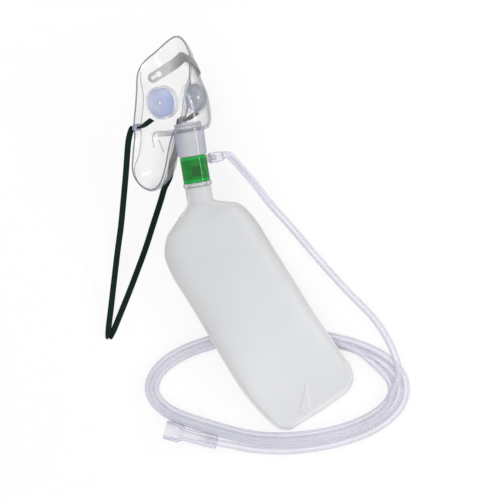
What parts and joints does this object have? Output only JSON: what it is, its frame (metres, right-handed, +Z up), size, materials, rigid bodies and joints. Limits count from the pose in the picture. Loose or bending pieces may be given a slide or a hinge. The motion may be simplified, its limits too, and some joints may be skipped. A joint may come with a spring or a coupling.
{
  "type": "oxygen mask",
  "caption": "Clear oxygen face mask with cheek valves, soft nose clip, elastic strap, swivelling inlet connector, film reservoir bag and coiled supply tube with its connector.",
  "frame": {"origin": "centre of the footprint on the surface the mask lies on, cord and coil left out", "axes": "+Z up from the surface, +Y along the length from the bag's end to the nose of the mask, +X across"},
  "size_m": [0.2566, 0.3488, 0.0779],
  "materials": {
    "clear_vinyl": "clear soft moulding, glossy",
    "valve_rubber": "smooth",
    "clip_aluminium": "brushed",
    "strap_elastic": "woven",
    "tinted_plastic": "clear, glossy",
    "clear_plastic": "clear, glossy",
    "green_plastic": "glossy",
    "bag_film": "frosted film",
    "tube_vinyl": "clear, glossy"
  },
  "bodies": {
    "supply": {"swivel_connector": "tinted_plastic", "gas_inlet_body": "clear_plastic", "inhalation_valve": "valve_rubber", "valve_collar": "green_plastic", "tube_socket": "tube_vinyl", "reservoir_bag": "bag_film", "oxygen_tube": "tube_vinyl", "tube_coil": "tube_vinyl", "tube_tail": "tube_vinyl", "supply_connector": "tinted_plastic"},
    "mask": {"mask_shell": "clear_vinyl", "valve_flap_right": "valve_rubber", "valve_flap_left": "valve_rubber", "nose_clip": "clip_aluminium", "elastic_strap": "strap_elastic"}
  },
  "joints": [
    {"name": "mask_swivel", "type": "hinge", "parent": "supply", "child": "mask", "pos_m": [-0.0335, 0.087, 0.0478], "axis": [-0.1626, 0.9835, 0.079], "range_deg": [-90, 170]}
  ]
}
